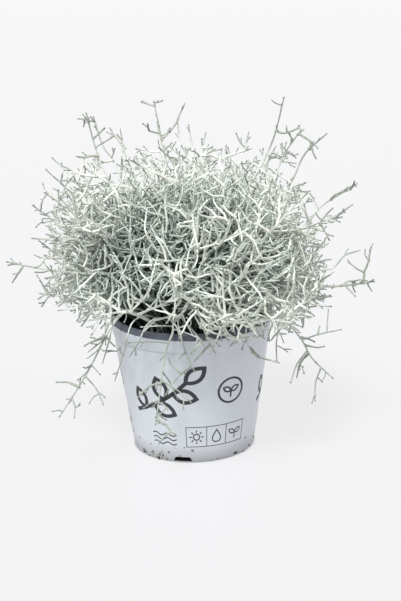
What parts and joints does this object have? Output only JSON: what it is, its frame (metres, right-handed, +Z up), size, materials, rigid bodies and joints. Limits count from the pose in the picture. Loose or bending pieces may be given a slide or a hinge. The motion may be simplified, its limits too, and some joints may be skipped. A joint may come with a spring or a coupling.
{
  "type": "potted cushion bush",
  "caption": "Potted plant: a rounded tangle of thin silvery shoots growing from dark soil in a tapered plastic nursery pot with a notched foot.",
  "frame": {"origin": "on the pot's axis, on the surface that the pot stands on", "axes": "+Z up out of the pot; -Y towards the viewer of the front, where the wide notch of the foot is; +X to that viewer's right"},
  "size_m": [0.2703, 0.2601, 0.2593],
  "materials": {
    "pot_plastic": "satin",
    "potting_soil": "matte",
    "silver_shoot": "matte"
  },
  "bodies": {
    "root": {"pot": "pot_plastic", "soil": "potting_soil", "shoot_01": "silver_shoot", "shoot_02": "silver_shoot", "shoot_03": "silver_shoot", "shoot_04": "silver_shoot", "shoot_05": "silver_shoot", "shoot_06": "silver_shoot", "shoot_07": "silver_shoot", "shoot_08": "silver_shoot", "shoot_09": "silver_shoot", "shoot_10": "silver_shoot", "shoot_11": "silver_shoot", "shoot_12": "silver_shoot", "shoot_13": "silver_shoot", "shoot_14": "silver_shoot", "shoot_15": "silver_shoot", "shoot_16": "silver_shoot", "shoot_17": "silver_shoot", "shoot_18": "silver_shoot", "shoot_19": "silver_shoot"}
  },
  "joints": []
}
